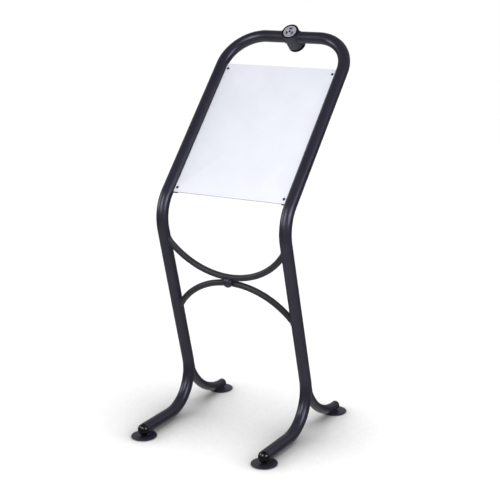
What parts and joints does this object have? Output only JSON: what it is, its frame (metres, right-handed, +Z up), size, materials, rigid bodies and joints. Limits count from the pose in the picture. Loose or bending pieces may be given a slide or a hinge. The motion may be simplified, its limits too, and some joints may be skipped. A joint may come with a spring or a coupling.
{
  "type": "sign stand",
  "caption": "Floor-standing sign stand: bent dark tube frame with arched stays, a reclined white panel and a round hub with a badge at the top.",
  "frame": {"origin": "on the floor, under the middle of the stand's overall width and depth", "axes": "+X to the reader's right along the top rail, -Y towards the reader, +Z up"},
  "size_m": [0.5196, 0.6943, 1.2477],
  "materials": {
    "powder_coat": "semi-gloss anthracite powder coat on steel tube",
    "black_plastic": "glossy black moulded plugs",
    "white_sheet": "white coated sheet, satin",
    "badge_metal": "satin silver disc with dark printed marks",
    "black_steel": "blackened steel screws",
    "zinc_steel": "zinc-plated nuts and washers",
    "pad_rubber": "matt black non-slip pads"
  },
  "bodies": {
    "root": {"badge": "badge_metal", "boss_cap_front": "powder_coat", "boss_cap_rear": "powder_coat", "centre_boss": "powder_coat", "hub_front_cap": "black_plastic", "hub_rear_cap": "black_plastic", "hub_tube": "powder_coat", "left_front_disc": "powder_coat", "left_front_pad": "pad_rubber", "left_front_plug": "black_plastic", "left_lower_nut": "zinc_steel", "left_lower_screw": "black_steel", "left_lower_tab": "powder_coat", "left_lower_washer": "zinc_steel", "left_rear_disc": "powder_coat", "left_rear_foot": "powder_coat", "left_rear_pad": "pad_rubber", "left_rear_plug": "black_plastic", "left_side_tube": "powder_coat", "left_upper_nut": "zinc_steel", "left_upper_screw": "black_steel", "left_upper_tab": "powder_coat", "left_upper_washer": "zinc_steel", "lower_stay": "powder_coat", "right_front_disc": "powder_coat", "right_front_pad": "pad_rubber", "right_front_plug": "black_plastic", "right_lower_nut": "zinc_steel", "right_lower_screw": "black_steel", "right_lower_tab": "powder_coat", "right_lower_washer": "zinc_steel", "right_rear_disc": "powder_coat", "right_rear_foot": "powder_coat", "right_rear_pad": "pad_rubber", "right_rear_plug": "black_plastic", "right_side_tube": "powder_coat", "right_upper_nut": "zinc_steel", "right_upper_screw": "black_steel", "right_upper_tab": "powder_coat", "right_upper_washer": "zinc_steel", "sign_panel": "white_sheet", "upper_stay": "powder_coat"}
  },
  "joints": []
}
